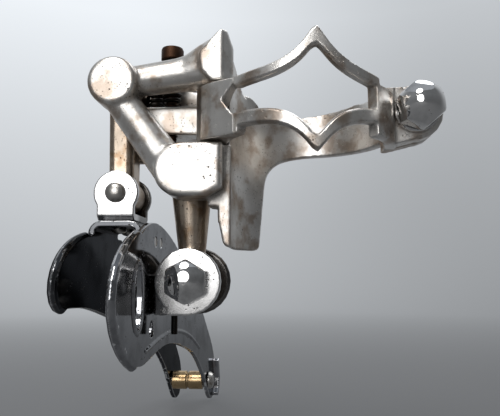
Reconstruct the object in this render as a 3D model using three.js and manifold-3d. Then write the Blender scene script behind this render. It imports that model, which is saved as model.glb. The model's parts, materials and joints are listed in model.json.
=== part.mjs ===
// Clamp-on front derailleur with a hinged skeleton strap, in millimetres.
// Origin: centre of the seat-tube bore at mid strap. +Z runs up the seat tube, +X points away from
// the chain side and +Y points to the rear wheel, so the chain cage lies at -X and trails towards +Y.
import * as THREE from "three";
import { mergeVertices } from "three/addons/utils/BufferGeometryUtils.js";
import Module from "manifold-3d";

const wasm = await Module();
wasm.setup();

// ---------------------------------------------------------------- driving dimensions
const TUBE_R = 15.9; // 31.8 mm seat tube
const WALL = 2.4; // clamp band thickness
const GAP = 0.3; // between pieces that touch
const RUN = 0.15; // radial clearance of a turning fit
const TUBE_SIDES = 60; // facets of the seat-tube bore

const LINK_DX = 0.4; // lower pivot from upper pivot
const LINK_DZ = -22.3;
const PITCH_DX = 15.4; // inner link from outer link
const PITCH_DZ = -18.5;
const P1 = { x: -40.2, z: 5.8 }; // outer link, upper pivot
const Q1 = { x: P1.x + LINK_DX, z: P1.z + LINK_DZ }; // outer link, lower pivot
const P2 = { x: P1.x + PITCH_DX, z: P1.z + PITCH_DZ }; // inner link, upper pivot
const Q2 = { x: Q1.x + PITCH_DX, z: Q1.z + PITCH_DZ }; // inner link, lower pivot

const FRAME_BACK = 0; // rear plane of the front frame
const FRAME_MID = -3.2; // centre plane of the round arms
const BOSS_FRONT = -7.8;
const PAD_FRONT = -8;
const LINK_FRONT = 0.4; // the links move between these two planes
const LINK_BACK = 9;
const REAR_FRONT = 9.4; // rear plate of the body
const REAR_BACK = 12;

const HINGE = { x: -19.4, y: -3, r: 1.5, eye: 3.2, low: -7, high: 4.6 }; // strap hinge pin
const BOLT = { x: 21.5, z: -1.5, r: 2.5 }; // clamp bolt
const EAR_R = 5.6;
const EAR_SPLIT = -1.9; // plane between strap ear and body ear

const BLOCK = { left: -35.6, low: -3.35, high: 3, front: 2.2 }; // carries the limit screws
const SCREWS = [
  { name: "high_limit_screw", x: -29.4, y: 4.2, head: 14 },
  { name: "low_limit_screw", x: -33.7, y: 7.2, head: 9.9 },
];
const SCREW_R = 1.25;
const SCREW_TIP = -5.6;

const SHEET = 1.3; // cage plate thickness
const OUTER_X = -43.5; // inside face of the outer plate
const INNER_X = -32.1; // outside face of the inner plate
const BEND_Y = 20; // behind this the cage leans towards +X
const LEAN = 0.066;
const TAIL = { y: 65, z: -66.8, r: 2.8 }; // spacer at the tail

// ---------------------------------------------------------------- helpers
function solid(geometry) {
  const bare = geometry.index ? geometry.toNonIndexed() : geometry.clone();
  bare.deleteAttribute("normal");
  bare.deleteAttribute("uv");
  const merged = mergeVertices(bare, 1e-4);
  const corners = merged.index.array;
  const triVerts = [];
  for (let i = 0; i < corners.length; i += 3) {
    const [a, b, c] = corners.slice(i, i + 3);
    if (a !== b && b !== c && c !== a) triVerts.push(a, b, c);
  }
  return new wasm.Manifold(
    new wasm.Mesh({
      numProp: 3,
      vertProperties: merged.attributes.position.array,
      triVerts: new Uint32Array(triVerts),
    }),
  );
}

const join = (...parts) => parts.reduce((a, b) => a.add(b));
const cut = (body, ...tools) => tools.reduce((a, b) => a.subtract(b), body);

function outline(points) {
  return new THREE.Shape(points.map(([u, v]) => new THREE.Vector2(u, v)));
}

// Two discs and the straight sides that touch both of them.
function capsule(a, ra, b, rb) {
  const angle = Math.atan2(b.z - a.z, b.x - a.x);
  const lean = Math.acos((ra - rb) / Math.hypot(b.x - a.x, b.z - a.z));
  const shape = new THREE.Shape();
  shape.absarc(a.x, a.z, ra, angle + lean, angle - lean + 2 * Math.PI, false);
  shape.absarc(b.x, b.z, rb, angle - lean, angle + lean, false);
  shape.closePath();
  return shape;
}

function disc(x, z, r) {
  return new THREE.Shape().absarc(x, z, r, 0, 2 * Math.PI, false);
}

// An outline drawn in X and Z, thickened from y0 to y1, with rounded edges when round > 0.
function alongY(shape, y0, y1, { round = 0, steps = 1, curve = 9 } = {}) {
  const g = new THREE.ExtrudeGeometry(shape, {
    depth: y1 - y0 - 2 * round,
    bevelEnabled: round > 0,
    bevelThickness: round,
    bevelSize: round,
    bevelOffset: -round,
    bevelSegments: steps,
    curveSegments: curve,
  });
  return solid(g.rotateX(Math.PI / 2).translate(0, y1 - round, 0));
}

// An outline drawn in Y and Z, thickened from x0 to x1.
function alongX(shape, x0, x1, curve = 8) {
  const g = new THREE.ExtrudeGeometry(shape, { depth: x1 - x0, bevelEnabled: false, curveSegments: curve });
  const turn = new THREE.Matrix4().makeBasis(
    new THREE.Vector3(0, 1, 0),
    new THREE.Vector3(0, 0, 1),
    new THREE.Vector3(1, 0, 0),
  );
  return solid(g.applyMatrix4(turn).translate(x0, 0, 0));
}

// An outline drawn in X and Y, thickened from z0 to z1.
function alongZ(shape, z0, z1, curve = 8) {
  const g = new THREE.ExtrudeGeometry(shape, { depth: z1 - z0, bevelEnabled: false, curveSegments: curve });
  return solid(g.translate(0, 0, z0));
}

function box(x0, x1, y0, y1, z0, z1) {
  const g = new THREE.BoxGeometry(x1 - x0, y1 - y0, z1 - z0);
  return solid(g.translate((x0 + x1) / 2, (y0 + y1) / 2, (z0 + z1) / 2));
}

// A round bar or cone between two points.
function bar(a, b, ra, rb = ra, sides = 18) {
  const from = new THREE.Vector3(...a);
  const to = new THREE.Vector3(...b);
  const g = new THREE.CylinderGeometry(rb, ra, from.distanceTo(to), sides);
  const turn = new THREE.Quaternion().setFromUnitVectors(
    new THREE.Vector3(0, 1, 0),
    to.clone().sub(from).normalize(),
  );
  g.applyQuaternion(turn);
  const middle = from.add(to).multiplyScalar(0.5);
  return solid(g.translate(middle.x, middle.y, middle.z));
}

const pinY = (x, z, r, y0, y1, sides = 20) => bar([x, y0, z], [x, y1, z], r, r, sides);
const pinZ = (x, y, r, z0, z1, sides = 20) => bar([x, y, z0], [x, y, z1], r, r, sides);

// A body of revolution about the Y axis through (x, z); the profile holds [radius, y] pairs, with y rising.
function turned(x, z, profile, sides = 24) {
  const points = profile.map(([r, y]) => new THREE.Vector2(r, y));
  return solid(new THREE.LatheGeometry(points, sides).translate(x, 0, z));
}

// A hexagonal prism with chamfered corners and a domed top. It grows from y = seat towards -Y.
function hexHead(x, z, flats, seat, height, dome, turn = 0) {
  const corner = flats / Math.sqrt(3);
  const hex = new THREE.CylinderGeometry(corner, corner, height, 6);
  hex.rotateY(THREE.MathUtils.degToRad(-turn)).translate(x, seat - height / 2, z);
  const rounded = turned(x, z, [
    [0, seat - height],
    [flats * 0.28, seat - height + dome * 0.18],
    [flats * 0.44, seat - height + dome * 0.6],
    [corner, seat - height + dome * 1.25],
    [corner, seat],
    [0, seat],
  ]);
  return solid(hex).intersect(rounded);
}

// A coil spring about the axis through centre, turned so that its own Y axis runs along axis.
function coil(centre, axis, meanR, wireR, length, turns, perTurn = 10, sides = 5) {
  const points = [];
  for (let i = 0; i <= turns * perTurn; i++) {
    const a = (i / perTurn) * 2 * Math.PI;
    const along = (length * i) / (turns * perTurn);
    points.push(new THREE.Vector3(meanR * Math.cos(a), along, meanR * Math.sin(a)));
  }
  return sweep(points, wireR, sides, axis, centre);
}

function sweep(points, r, sides = 6, axis = [0, 1, 0], centre = [0, 0, 0]) {
  const path = new THREE.CatmullRomCurve3(points);
  const section = new THREE.Shape(
    Array.from({ length: sides }, (_, i) => {
      const a = (i / sides) * 2 * Math.PI;
      return new THREE.Vector2(r * Math.cos(a), r * Math.sin(a));
    }),
  );
  const g = new THREE.ExtrudeGeometry(section, { steps: points.length - 1, extrudePath: path });
  const turn = new THREE.Quaternion().setFromUnitVectors(
    new THREE.Vector3(0, 1, 0),
    new THREE.Vector3(...axis).normalize(),
  );
  return solid(g.applyQuaternion(turn).translate(...centre));
}

const part = new THREE.Group();

function add(name, body, finish) {
  const mesh = body.getMesh();
  const stride = mesh.numProp;
  const position = new Float32Array((mesh.vertProperties.length / stride) * 3);
  for (let i = 0; i < position.length / 3; i++)
    position.set(mesh.vertProperties.subarray(i * stride, i * stride + 3), i * 3);
  const g = new THREE.BufferGeometry();
  g.setAttribute("position", new THREE.BufferAttribute(position, 3));
  g.setIndex(new THREE.BufferAttribute(new Uint32Array(mesh.triVerts), 1));
  g.computeVertexNormals();
  const made = new THREE.Mesh(g, finish);
  made.name = name;
  part.add(made);
}

const metal = (color, roughness) => new THREE.MeshStandardMaterial({ color, roughness, metalness: 1 });
const CAST = metal(0xb3aea6, 0.45);
const LINK = metal(0xa89c8c, 0.42);
const CHROME = metal(0xc9ccd1, 0.12);
const BLACK_STEEL = metal(0x1c1b1a, 0.45);
const RUSTY = metal(0x5a3a2c, 0.75);
const WARM = metal(0xa08052, 0.35);
const STEEL = metal(0x8c8a88, 0.35);

// ---------------------------------------------------------------- clamp band, on the tube
function ring(outer, z0, z1) {
  return cut(pinZ(0, 0, outer, z0, z1, TUBE_SIDES), pinZ(0, 0, TUBE_R, z0 - 1, z1 + 1, TUBE_SIDES));
}

// ---------------------------------------------------------------- body casting
const SADDLE_LOW = -28.2;
const SADDLE_TOP = 15.2;
const RIM_Y = -4.6; // front rim of the saddle

// The tall saddle, the tongue under it and the band that runs round the back to the bolt ear.
function saddleAndBand() {
  const wall = new THREE.Shape();
  wall.moveTo(-22, SADDLE_TOP);
  wall.lineTo(-16.2, SADDLE_TOP);
  wall.lineTo(-13.8, 7);
  wall.quadraticCurveTo(-12, 4.2, 0, 3.8);
  wall.lineTo(12, 5.2);
  wall.lineTo(22, 4);
  wall.lineTo(22, -6);
  wall.lineTo(2, -5.8);
  wall.bezierCurveTo(-6, -6.2, -9, -8, -9.3, -14);
  wall.lineTo(-10.4, SADDLE_LOW + 1.2);
  wall.quadraticCurveTo(-10.6, SADDLE_LOW, -12, SADDLE_LOW);
  wall.lineTo(-15.5, SADDLE_LOW);
  wall.quadraticCurveTo(-16.9, SADDLE_LOW, -17.1, SADDLE_LOW + 2);
  wall.lineTo(-18.6, -19);
  wall.lineTo(-22, -14);
  wall.closePath();
  const band = ring(TUBE_R + WALL, SADDLE_LOW - 1, SADDLE_TOP + 1).intersect(alongY(wall, -30, 30));
  const front = box(-30, 0, -30, RIM_Y, -40, 30);
  const frontRight = box(0, 30, -30, EAR_SPLIT + GAP, -40, 30);
  return cut(band, front, frontRight);
}

function boltEar(y0, y1) {
  const arm = outline([
    [12.5, 3.2],
    [19, 3.6],
    [21.5, -1.5],
    [21.5, -7.1],
    [16.5, -8.3],
    [12.5, -8.3],
  ]);
  return join(alongY(disc(BOLT.x, BOLT.z, EAR_R), y0, y1, { round: 0.6 }), alongY(arm, y0, y1));
}

// The tall root of the upper arm: a wedge with a slanted right side.
function rootWedge() {
  const front = outline([
    [-17.2, 15.6],
    [-15.8, 15.6],
    [-12.4, 5],
    [-18.9, 5],
    [-21.2, 7.3],
    [-21.6, 11],
  ]);
  const plan = outline([
    [-23, -8.2],
    [-16.7, -8.6],
    [-12.4, -3.6],
    [-12.4, 2.5],
    [-23, 2.5],
  ]);
  return alongY(front, -9, 2.5).intersect(alongZ(plan, 0, 20));
}

// The upper arm swells from a round bar into the wedge.
function armFlare() {
  const rings = [
    { x: -28, y: FRAME_MID, z: 7.7, half: 3.4, height: 3.4 },
    { x: -25, y: FRAME_MID, z: 8.2, half: 3.6, height: 3.8 },
    { x: -22, y: FRAME_MID - 0.4, z: 9.2, half: 4, height: 4.7 },
    { x: -19, y: FRAME_MID - 0.8, z: 10.1, half: 4.3, height: 5.4 },
    { x: -16.5, y: FRAME_MID - 0.8, z: 10.3, half: 4.2, height: 5.3 },
  ];
  const sides = 20;
  return skin(
    rings.map(({ x, y, z, half, height }) =>
      Array.from({ length: sides }, (_, i) => {
        const a = (i / sides) * 2 * Math.PI;
        return [x, y + half * Math.cos(a), z + height * Math.sin(a)];
      }),
    ),
  );
}

const PAD = { right: -16.8, left: -25.1, high: -7.3, r: 5.5 }; // flat cover of the lower pivot

function pivotPad() {
  const middle = PAD.high - PAD.r;
  const shape = new THREE.Shape();
  shape.moveTo(PAD.right, PAD.high);
  shape.lineTo(PAD.left, PAD.high);
  shape.absarc(PAD.left, middle, PAD.r, Math.PI / 2, (3 * Math.PI) / 2, false);
  shape.lineTo(PAD.right - 3, middle - PAD.r);
  shape.lineTo(PAD.right, middle - PAD.r + 1.8);
  shape.closePath();
  return alongY(shape, PAD_FRONT, FRAME_BACK, { round: 0.8, steps: 2 });
}

function frontFrame() {
  const boss = alongY(disc(P1.x + 0.7, P1.z, 5.2), BOSS_FRONT, FRAME_BACK, { round: 0.9, steps: 2, curve: 12 });
  const upperArm = bar([-39.5, FRAME_MID, 6.3], [-21.5, FRAME_MID, 8.5], 3.1, 3.7);
  const diagonal = bar([-40, FRAME_MID - 0.2, 4.5], [-27.2, FRAME_MID - 0.8, -12.6], 3.3, 4);
  const root = box(-20, -14.5, RIM_Y, 1, -20, PAD.high);
  return join(boss, upperArm, armFlare(), rootWedge(), diagonal, pivotPad(), root);
}

function rearFrame() {
  const carrier = box(BLOCK.left, -14, BLOCK.front, REAR_BACK, BLOCK.low, BLOCK.high);
  const upper = alongY(capsule(P1, 4.3, { x: -14, z: 3.4 }, 4.2), REAR_FRONT, REAR_BACK);
  const lower = alongY(capsule(P2, 4.6, { x: -13, z: -7 }, 5), REAR_FRONT, REAR_BACK);
  return join(carrier, upper, lower);
}

function bodyCasting() {
  const raw = join(saddleAndBand(), boltEar(EAR_SPLIT + GAP, 2.2), frontFrame(), rearFrame());
  const bore = pinZ(0, 0, TUBE_R, -60, 60, TUBE_SIDES);
  const knuckleRoom = pinZ(HINGE.x, HINGE.y, HINGE.eye + GAP, HINGE.low - GAP, HINGE.high + GAP);
  const knuckleFront = box(-24, 0, -12, HINGE.y + 0.4, HINGE.low - GAP, HINGE.high + GAP);
  const hingeHole = pinZ(HINGE.x, HINGE.y, HINGE.r + 0.1, -15, 13);
  const outerHole = pinY(P1.x, P1.z, 2 + RUN, -4.5, 20);
  const innerHole = pinY(P2.x, P2.z, 2.1, -5.5, 20);
  const boltHole = pinY(BOLT.x, BOLT.z, BOLT.r + 0.55, -10, 10);
  const screwHoles = SCREWS.map((s) => pinZ(s.x, s.y, SCREW_R + RUN, -10, 5, 16));
  const pivotHoles = [hingeHole, outerHole, innerHole, boltHole];
  return cut(raw, bore, knuckleRoom, knuckleFront, ...pivotHoles, ...screwHoles);
}

add("body_casting", bodyCasting(), CAST);
add("strap_hinge_pin", pinZ(HINGE.x, HINGE.y, HINGE.r, -14.7, 12.7), STEEL);

// ---------------------------------------------------------------- hinged clamp strap
const STRAP_IN = TUBE_R + 0.2;
const STRAP_OUT = TUBE_R + 2.5;
const KINK = 4.4; // degrees from the front centre line, towards the bolt

const peak = (deg, reach) => Math.exp(-(Math.hypot(deg - KINK, 2.2) - 2.2) / reach);

const STRANDS = {
  upper: {
    centre: (deg) => 2.55 - 0.012 * deg + 7.2 * peak(deg, 12.5),
    half: (deg) => 1.15 + 0.75 * peak(deg, 9),
  },
  lower: {
    centre: (deg) => -4.3 - 6.1 * peak(deg, 11),
    half: (deg) => 1.45 + 0.1 * peak(deg, 9),
  },
};

// One strand: a chamfered bar that follows the tube, with its height given as a function of angle.
function strand({ centre, half }, from, to, steps) {
  const rings = [];
  const bevel = 0.5;
  for (let i = 0; i <= steps; i++) {
    const deg = from + ((to - from) * i) / steps;
    const a = THREE.MathUtils.degToRad(deg);
    const mid = centre(deg);
    const h = half(deg);
    const corners = [
      [STRAP_IN, -h + bevel],
      [STRAP_IN + bevel, -h],
      [STRAP_OUT - bevel, -h],
      [STRAP_OUT, -h + bevel],
      [STRAP_OUT, h - bevel],
      [STRAP_OUT - bevel, h],
      [STRAP_IN + bevel, h],
      [STRAP_IN, h - bevel],
    ];
    rings.push(corners.map(([r, z]) => [r * Math.sin(a), -r * Math.cos(a), mid + z]));
  }
  return skin(rings);
}

// A closed solid through rings of points that all have the same count.
function skin(rings) {
  const n = rings[0].length;
  const position = new Float32Array(rings.flat(2));
  const index = [];
  for (let i = 0; i < rings.length - 1; i++)
    for (let j = 0; j < n; j++) {
      const a = i * n + j;
      const b = i * n + ((j + 1) % n);
      index.push(a, a + n, b, b, a + n, b + n);
    }
  const last = (rings.length - 1) * n;
  for (let j = 1; j < n - 1; j++) {
    index.push(0, j, j + 1);
    index.push(last, last + j + 1, last + j);
  }
  const g = new THREE.BufferGeometry();
  g.setAttribute("position", new THREE.BufferAttribute(position, 3));
  g.setIndex(index);
  const made = solid(g);
  return made.volume() < 0 ? solid(g.setIndex(index.slice().reverse())) : made;
}

function clampStrap() {
  const leftPlate = strand({ centre: () => -1.4, half: () => 5.6 }, -78, -47, 8);
  const rightPlate = strand({ centre: () => -3.1, half: () => 5.2 }, 44.5, 86, 9);
  const window = alongY(
    outline([
      [-16.6, 0.2],
      [-14.2, 3],
      [-9, 1.8],
      [-9, -2.9],
      [-14.4, -3],
    ]),
    -30,
    0,
  );
  const eye = pinZ(HINGE.x, HINGE.y, HINGE.eye, HINGE.low, HINGE.high);
  const web = alongZ(
    outline([
      [-22.6, -3.2],
      [-22.2, -5.4],
      [-21, -7.4],
      [-18.9, -9.2],
      [-16.2, -10.7],
      [-13.4, -12.4],
      [-12.2, -10.6],
      [-14.4, -7.6],
      [-16.2, -4],
      [-17, -2],
    ]),
    HINGE.low,
    HINGE.high - 0.4,
  );
  const ear = boltEar(-6, EAR_SPLIT);
  const raw = join(
    cut(join(leftPlate, web), window),
    eye,
    strand(STRANDS.upper, -50, 47, 30),
    strand(STRANDS.lower, -50, 47, 30),
    rightPlate,
    ear,
  );
  const bore = pinZ(0, 0, STRAP_IN, -30, 30, TUBE_SIDES);
  const behind = box(0, 40, EAR_SPLIT, 30, -30, 30);
  const hingeHole = pinZ(HINGE.x, HINGE.y, HINGE.r + RUN, -30, 30);
  const boltHole = pinY(BOLT.x, BOLT.z, BOLT.r + 0.1, -20, 20);
  const washerRoom = pinY(BOLT.x, BOLT.z, 4.8, -20, -6);
  return cut(raw, bore, behind, hingeHole, boltHole, washerRoom);
}

add("clamp_strap", clampStrap(), CAST);
add(
  "clamp_washer",
  cut(
    turned(BOLT.x, BOLT.z, [
      [0, -7.5],
      [3.9, -7.5],
      [4.4, -7],
      [4.4, -6.3],
      [0, -6.3],
    ]),
    pinY(BOLT.x, BOLT.z, BOLT.r + 0.2, -20, 20),
  ),
  CHROME,
);
add(
  "clamp_bolt",
  join(hexHead(BOLT.x, BOLT.z, 8, -7.8, 7, 3.2), pinY(BOLT.x, BOLT.z, BOLT.r, -8, 2)),
  CHROME,
);

// ---------------------------------------------------------------- parallelogram links
function outerLink() {
  const span = [LINK_FRONT, LINK_BACK];
  const upperEye = alongY(disc(P1.x, P1.z, 4.5), ...span, { round: 0.4 });
  const lowerEye = alongY(disc(Q1.x, Q1.z, 3.8), ...span, { round: 0.4 });
  const shaftTop = { x: P1.x + 0.2, z: P1.z };
  const shaftFoot = { x: Q1.x + 0.1, z: Q1.z };
  const shaftShape = capsule(shaftTop, 2.9, shaftFoot, 2.7);
  const shaft = alongY(shaftShape, LINK_FRONT + 0.6, LINK_BACK - 0.6, { round: 1.4, steps: 2 });
  const finger = box(Q1.x, -32.3, 5.8, 8.7, -8.6, SCREW_TIP - GAP);
  const raw = join(upperEye, lowerEye, shaft, finger);
  return cut(raw, pinY(P1.x, P1.z, 2.1, -20, 20), pinY(Q1.x, Q1.z, 1.6 + RUN, -20, 20));
}

function innerLink() {
  const upperEye = alongY(disc(P2.x, P2.z, 4.7), LINK_FRONT, LINK_BACK, { round: 0.4 });
  const middle = 4.6;
  const shaft = bar([P2.x + 0.1, middle, P2.z - 3], [Q2.x, middle, Q2.z + 5], 4.4, 2.8, 24);
  const lowerEye = alongY(disc(Q2.x, Q2.z, 5.4), LINK_FRONT, 6.4, { round: 0.4 });
  const neck = bar([Q2.x, 3.4, Q2.z], [Q2.x, middle, Q2.z + 8], 2.9, 2.9, 20);
  const shoulder = box(P2.x - 4.2, P2.x, LINK_FRONT, 7.2, P2.z - 3, P2.z + 3.4);
  const heel = alongY(capsule({ x: P2.x - 3, z: P2.z + 1 }, 2, { x: -31.4, z: -9.9 }, 0.8), 2.9, 5.4);
  const raw = cut(
    join(upperEye, shaft, neck, lowerEye, shoulder, heel),
    box(-40, 0, -10, LINK_FRONT, -60, 20),
    box(-40, 0, LINK_BACK, 20, -60, 20),
    box(-40, 0, 6.4, 20, -60, Q2.z + 5.7),
  );
  return cut(raw, pinY(P2.x, P2.z, 3.1, -20, 20), pinY(Q2.x, Q2.z, 3.1 + RUN, -20, 20));
}

add("outer_link", outerLink(), LINK);
add("outer_pivot_pin", pinY(P1.x, P1.z, 2, -4.2, 16), STEEL);
add("inner_link", innerLink(), LINK);
add("inner_pivot_pin", pinY(P2.x, P2.z, 2, -5.2, 12.4), STEEL);
add(
  "inner_link_bush",
  cut(pinY(P2.x, P2.z, 3, LINK_FRONT, LINK_BACK), pinY(P2.x, P2.z, 2 + RUN, -20, 20)),
  WARM,
);

// ---------------------------------------------------------------- cable arm behind the body
const ANCHOR = { x: -29.6, z: 11.6 };
const ARM_FRONT = 12.5;
const ARM_BACK = 14.7;
add(
  "cable_arm",
  cut(
    alongY(capsule(P1, 4.4, ANCHOR, 3.7), ARM_FRONT, ARM_BACK, { round: 0.3 }),
    pinY(P1.x, P1.z, 2.1, 0, 30),
    pinY(ANCHOR.x, ANCHOR.z, 2.1, 0, 30),
  ),
  LINK,
);
add(
  "cable_washer",
  cut(pinY(ANCHOR.x, ANCHOR.z, 3.9, 15, 16, 20), pinY(ANCHOR.x, ANCHOR.z, 2.15, 0, 30)),
  STEEL,
);
function cableBolt() {
  const corner = 7 / Math.sqrt(3);
  const head = new THREE.CylinderGeometry(corner, corner, 3.4, 6).translate(ANCHOR.x, 18, ANCHOR.z);
  return join(solid(head), pinY(ANCHOR.x, ANCHOR.z, 2, ARM_FRONT + 0.1, 17));
}
add("cable_anchor_bolt", cableBolt(), STEEL);

// ---------------------------------------------------------------- limit screws and their springs
for (const { name, x, y, head } of SCREWS) {
  const shank = pinZ(x, y, SCREW_R, SCREW_TIP, head + 0.5, 16);
  const cap = pinZ(x, y, 2.5, head, head + 2.9, 24);
  const slot = box(x - 3, x + 3, y - 0.4, y + 0.4, head + 1.9, head + 4);
  add(name, cut(join(shank, cap), slot), RUSTY);
  const length = head - BLOCK.high - 1.5;
  const turns = Math.round(length / 1.7);
  add(
    name.replace("screw", "spring"),
    coil([x, y, BLOCK.high + 0.75], [0, 0, 1], 1.78, 0.36, length, turns),
    BLACK_STEEL,
  );
}

// ---------------------------------------------------------------- chain cage
// A cage plate in Y and Z: the front edge is one Bezier curve, and smooth runs of points follow behind it.
function plateOutline(start, front, ...runs) {
  const shape = new THREE.Shape();
  shape.moveTo(...start);
  shape.bezierCurveTo(...front[0], ...front[1], ...front[2]);
  for (const run of runs) shape.splineThru(run.map(([y, z]) => new THREE.Vector2(y, z)));
  shape.closePath();
  return shape;
}

// The part of a cage plate behind BEND_Y, leaned over so that the cage narrows towards the frame.
function leaned(plate) {
  const rear = box(-80, 0, BEND_Y, 200, -120, 20);
  const shear = new THREE.Matrix4().set(1, LEAN, 0, -LEAN * BEND_Y, 0, 1, 0, 0, 0, 0, 1, 0, 0, 0, 0, 1);
  return join(plate.subtract(rear), plate.intersect(rear).transform(shear.elements));
}

// A rounded bead along the front edge of a plate.
function frontBead(x, start, front) {
  const curve = new THREE.CubicBezierCurve3(
    new THREE.Vector3(x, ...start),
    ...front.map(([y, z]) => new THREE.Vector3(x, y, z)),
  );
  const ends = [start, front[2]].map(([y, z]) =>
    solid(new THREE.SphereGeometry(0.95, 10, 8).translate(x, y, z)),
  );
  return join(sweep(curve.getSpacedPoints(14), 0.95, 8), ...ends);
}

const BRIDGE = { y0: -3, y1: 13, low: -23.9, high: -22.6, r: 2.4, side: -25.4 };

const OUTER_START = [-5.5, -26];
const OUTER_FRONT = [
  [-22.9, -28.9],
  [-22.6, -39.1],
  [-16.2, -39.7],
];
const OUTER_LOW = [
  [-5, -40.3],
  [10, -43.2],
  [26, -47],
  [42, -52.2],
  [56, -60.6],
  [67, -71.4],
  [70.5, -73.6],
];
const OUTER_TOP = [
  [74.5, -72.6],
  [76.3, -68],
  [73.5, -61],
  [60, -49.4],
  [40, -37.6],
  [24, -29.6],
  [BRIDGE.y1 + 3, BRIDGE.side],
];

// The strip that joins the two plates over the top: two rounded corners and a tab on the inner plate.
function bridgeStrip() {
  const { y0, y1, high, r, side } = BRIDGE;
  const left = OUTER_X - SHEET;
  const right = INNER_X - SHEET - GAP;
  const inside = r - SHEET;
  const shape = new THREE.Shape();
  shape.moveTo(left, side - SHEET);
  shape.absarc(left + r, high - r, r, Math.PI, Math.PI / 2, true);
  shape.absarc(right - r, high - r, r, Math.PI / 2, 0, true);
  shape.lineTo(right, side);
  shape.lineTo(right - SHEET, side);
  shape.absarc(right - r, high - r, inside, 0, Math.PI / 2, false);
  shape.absarc(left + r, high - r, inside, Math.PI / 2, Math.PI, false);
  shape.lineTo(left + SHEET, side - SHEET);
  shape.closePath();
  const tab = box(right - SHEET, right, 0, 10, -29, side + 0.1);
  return join(alongY(shape, y0, y1, { curve: 5 }), tab);
}

function cageOuterPlate() {
  const top = [[BRIDGE.y0, BRIDGE.side]];
  const edge = plateOutline(OUTER_START, OUTER_FRONT, OUTER_LOW, OUTER_TOP, top);
  const plate = alongX(edge, OUTER_X - SHEET, OUTER_X, 4);
  const bead = frontBead(OUTER_X - 1, OUTER_START, OUTER_FRONT);
  return join(leaned(plate), bead, bridgeStrip());
}

const INNER_START = [-9.5, -25.9];
const INNER_FRONT = [
  [-27.6, -30.7],
  [-29.4, -43.6],
  [-10.4, -50.5],
];
const INNER_LOW = [
  [-6, -51.1],
  [1, -50.6],
  [10, -49.8],
  [20, -50],
  [32, -52],
  [46, -56],
  [58, -63.2],
  [67, -71.4],
  [70.5, -73.6],
];
const INNER_TOP = [
  [74.5, -72.6],
  [76.3, -67.6],
  [73, -58.6],
  [60, -47.8],
  [42, -35],
  [24, -26.4],
  [10, -23],
  [-1, -22.9],
  INNER_START,
];

const OVAL = { y: -10.2, z: -37.8, half: 3, tall: 6.1, rim: 1 }; // hole with a low raised rim

function cageInnerPlate() {
  const face = INNER_X;
  const back = INNER_X - SHEET;
  const { y, z, half, tall, rim } = OVAL;
  const oval = new THREE.Shape().absellipse(y, z, half + rim, tall + rim, 0, 2 * Math.PI);
  const dish = new THREE.Shape().absellipse(y, z, half, tall, 0, 2 * Math.PI);
  const eyelet = new THREE.Shape().absellipse(0.9, -44.7, 2.1, 1.7, 0, 2 * Math.PI);
  const crease = new THREE.CatmullRomCurve3(
    [
      [-4, -48.6],
      [10, -47.4],
      [26, -47.6],
      [40, -50.4],
      [52, -55.2],
    ].map(([y, z]) => new THREE.Vector3(face, y, z)),
  );
  const plate = join(
    alongX(plateOutline(INNER_START, INNER_FRONT, INNER_LOW, INNER_TOP), back, face, 4),
    sweep(crease.getSpacedPoints(16), 0.45, 6),
  );
  const tailFlange = alongX(
    outline([
      [73.4, -73.3],
      [75.4, -71.2],
      [76.3, -67.6],
      [75.2, -63.8],
      [74, -61.4],
      [73, -62],
      [74.1, -64.4],
      [74.9, -67.6],
      [74.1, -70.6],
      [72.6, -72.2],
    ]),
    back,
    face + 1.8,
  );
  const raw = join(
    leaned(join(plate, tailFlange)),
    frontBead(INNER_X - 0.9, INNER_START, INNER_FRONT),
    alongX(oval, back, face + 0.35, 12),
  );
  return cut(
    raw,
    alongX(dish, back - 2, face + 3, 12),
    alongX(eyelet, back - 2, face + 3),
  );
}

const TAIL_X = LEAN * (TAIL.y - BEND_Y);
const spacerEnds = [OUTER_X + TAIL_X + GAP, INNER_X - SHEET + TAIL_X - GAP];

function pinX(x0, x1, y, z, r, sides = 20) {
  return bar([x0, y, z], [x1, y, z], r, r, sides);
}

const tailHole = pinX(-60, -10, TAIL.y, TAIL.z, 1.6);
const bridgeRivets = [1, 8.4].map((y) => ({ x: -39.6, y }));
const tabRivets = [3, 8].map((y) => ({ y, z: -26.6 }));
const baseRivets = [-36.2, -39.8].map((z) => ({ y: 6.2, z }));

add(
  "cage_outer_plate",
  cut(
    cageOuterPlate(),
    tailHole,
    ...bridgeRivets.map(({ x, y }) => pinZ(x, y, 1.15, -40, 0, 16)),
    ...tabRivets.map(({ y, z }) => pinX(-37, -20, y, z, 1.15, 16)),
  ),
  CHROME,
);
add(
  "cage_inner_plate",
  cut(
    cageInnerPlate(),
    tailHole,
    ...[...tabRivets, ...baseRivets].map(({ y, z }) => pinX(-37, -20, y, z, 1.15, 16)),
  ),
  CHROME,
);

add(
  "tail_spacer",
  cut(
    join(
      pinX(spacerEnds[0], spacerEnds[1], TAIL.y, TAIL.z, TAIL.r - 0.35),
      pinX(spacerEnds[0], spacerEnds[0] + 4.4, TAIL.y, TAIL.z, TAIL.r),
      pinX(spacerEnds[0] + 5.2, spacerEnds[1], TAIL.y, TAIL.z, TAIL.r),
    ),
    pinX(-60, -10, TAIL.y, TAIL.z, 1.7),
  ),
  WARM,
);

function tailScrew() {
  const headSeat = INNER_X + TAIL_X + GAP;
  const head = pinX(headSeat, headSeat + 1.6, TAIL.y, TAIL.z, 2.6);
  const shank = pinX(spacerEnds[0] - GAP - SHEET, headSeat + 0.5, TAIL.y, TAIL.z, 1.4, 16);
  const slot = box(headSeat + 0.9, headSeat + 3, TAIL.y - 0.4, TAIL.y + 0.4, TAIL.z - 4, TAIL.z + 4);
  return cut(join(head, shank), slot);
}
add("tail_screw", tailScrew(), STEEL);

// ---------------------------------------------------------------- clevis on the bridge (outer link)
const OUTER_EARS = [-1.5, 10.9];

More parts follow.
